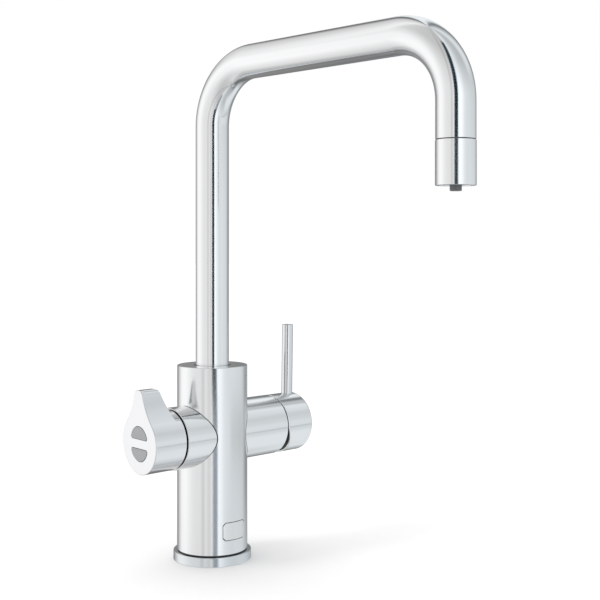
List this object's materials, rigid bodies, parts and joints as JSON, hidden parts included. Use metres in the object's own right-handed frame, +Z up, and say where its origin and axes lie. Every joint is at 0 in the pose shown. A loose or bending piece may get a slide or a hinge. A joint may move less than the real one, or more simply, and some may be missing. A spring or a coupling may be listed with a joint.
{
  "type": "boiling water tap",
  "caption": "Kitchen tap with a swivelling square-arm spout, a boiling and chilled lever with press buttons, and a side mixer with a pin lever.",
  "frame": {"origin": "centre of the base on the bench", "axes": "+Z up the column, the spout points to -Y, the boiling lever is at -X and the mixer at +X"},
  "size_m": [0.1558, 0.2697, 0.3813],
  "materials": {
    "brushed_steel": "fine satin brushing",
    "brass": "machined",
    "black_rubber": "matt",
    "plain_steel": "plain machined",
    "black_plastic": "fine matt",
    "white_plastic": "smooth",
    "ceramic": "lapped ceramic",
    "circuit_board": "solder mask",
    "grey_plastic": "fine matt",
    "button_grey": "satin"
  },
  "bodies": {
    "tap_body": {"base_flange": "brushed_steel", "bench_gasket": "black_rubber", "seam_ring": "black_rubber", "column_shell": "brushed_steel", "badge_plate": "brushed_steel", "base_block": "brass", "block_screws": "plain_steel", "channel_seals": "black_rubber", "valve_core": "brass", "glide_ring": "black_plastic", "stop_screw": "plain_steel", "saddle_gasket_ring": "black_rubber", "lever_collar": "brushed_steel", "collar_stud": "brass", "lever_bush": "white_plastic", "return_spring": "plain_steel", "sensor_board": "circuit_board", "sensor_cable": "black_plastic", "collar_cover": "black_plastic", "mixer_sleeve": "brushed_steel", "cartridge_housing": "brass", "cartridge_body": "white_plastic", "cartridge_seals": "black_rubber", "fixed_disc": "ceramic", "cartridge_nut": "brass", "nut_cover": "black_plastic"},
    "spout": {"spout_tube": "brushed_steel", "spout_spigot": "brass", "spigot_o_rings": "black_rubber", "tube_gland": "brass", "gland_o_ring": "black_rubber", "boiling_tube": "white_plastic", "chilled_tube": "white_plastic", "outlet_manifold": "brass", "tube_collets": "black_plastic", "outlet_sleeve": "brushed_steel", "sleeve_seal": "black_rubber", "flow_ring": "grey_plastic", "boiling_nozzle": "grey_plastic"},
    "lever": {"boiling_lever": "brushed_steel", "lever_hub": "plain_steel", "lever_shaft": "plain_steel", "shaft_clip": "plain_steel", "sensor_magnet": "plain_steel", "lever_grub_screw": "plain_steel", "button_board": "circuit_board", "button_switches": "black_plastic", "button_membrane": "black_rubber"},
    "upper_press": {"upper_button": "button_grey"},
    "lower_press": {"lower_button": "button_grey"},
    "mixer_turret": {"cartridge_carrier": "white_plastic", "cartridge_dome": "black_plastic", "stem_pin": "plain_steel"},
    "tilting_head": {"mixer_head": "brushed_steel", "head_liner": "black_plastic", "pin_lever": "brushed_steel", "head_grub_screw": "plain_steel", "grub_plug": "plain_steel", "cartridge_stem": "brass"},
    "sliding_disc": {"moving_disc": "ceramic"}
  },
  "joints": [
    {"name": "spout_swivel", "type": "hinge", "parent": "tap_body", "child": "spout", "pos_m": [0, 0, 0.1211], "axis": [0, 0, 1], "range_deg": [-90, 90]},
    {"name": "boiling_lever_turn", "type": "hinge", "parent": "tap_body", "child": "lever", "pos_m": [-0.035, 0, 0.0936], "axis": [1, 0, 0], "range_deg": [-30, 30], "stiffness_Nm_per_rad": 0.3},
    {"name": "upper_button_press", "type": "slide", "parent": "lever", "child": "upper_press", "axis": [0.9959, -0.0871, 0.0262], "range_m": [0, 0.0008], "stiffness_N_per_m": 900},
    {"name": "lower_button_press", "type": "slide", "parent": "lever", "child": "lower_press", "axis": [0.9959, -0.0871, 0.0262], "range_m": [0, 0.0008], "stiffness_N_per_m": 900},
    {"name": "mixer_turn", "type": "hinge", "parent": "tap_body", "child": "mixer_turret", "pos_m": [0.052, 0, 0.0936], "axis": [1, 0, 0], "range_deg": [-50, 50]},
    {"name": "mixer_tilt", "type": "hinge", "parent": "mixer_turret", "child": "tilting_head", "pos_m": [0.052, 0, 0.0936], "axis": [0, 1, 0], "range_deg": [0, 17]},
    {"name": "disc_slide", "type": "slide", "parent": "mixer_turret", "child": "sliding_disc", "axis": [0, 0, 1], "range_m": [0, 0.0028]}
  ],
  "couplings": [
    {"joint": "disc_slide", "follows": "mixer_tilt", "m_per_rad": 0.0093}
  ]
}
